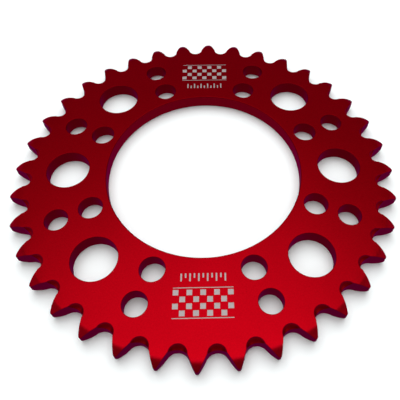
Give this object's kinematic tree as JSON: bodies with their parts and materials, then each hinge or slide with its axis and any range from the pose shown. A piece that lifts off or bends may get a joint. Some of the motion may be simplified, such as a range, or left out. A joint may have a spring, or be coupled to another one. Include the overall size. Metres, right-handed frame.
{
  "type": "rear sprocket",
  "caption": "Flat one-piece rear sprocket with a large central bore, two bolt circles, round lightening holes and a toothed rim for a motorcycle roller chain.",
  "frame": {"origin": "centre of the bore, on the hub-side face", "axes": "+Z along the axle, from the hub-side face to the outboard face; +X through one of the lightening holes, in the plane of the plate; +Y through the middle of one etched mark"},
  "size_m": [0.1508, 0.1508, 0.0058],
  "materials": {
    "red_anodised": "satin red anodised over a fine blasted grain, with bare aluminium in the etched marks"
  },
  "bodies": {
    "root": {"sprocket_plate": "red_anodised"}
  },
  "joints": []
}
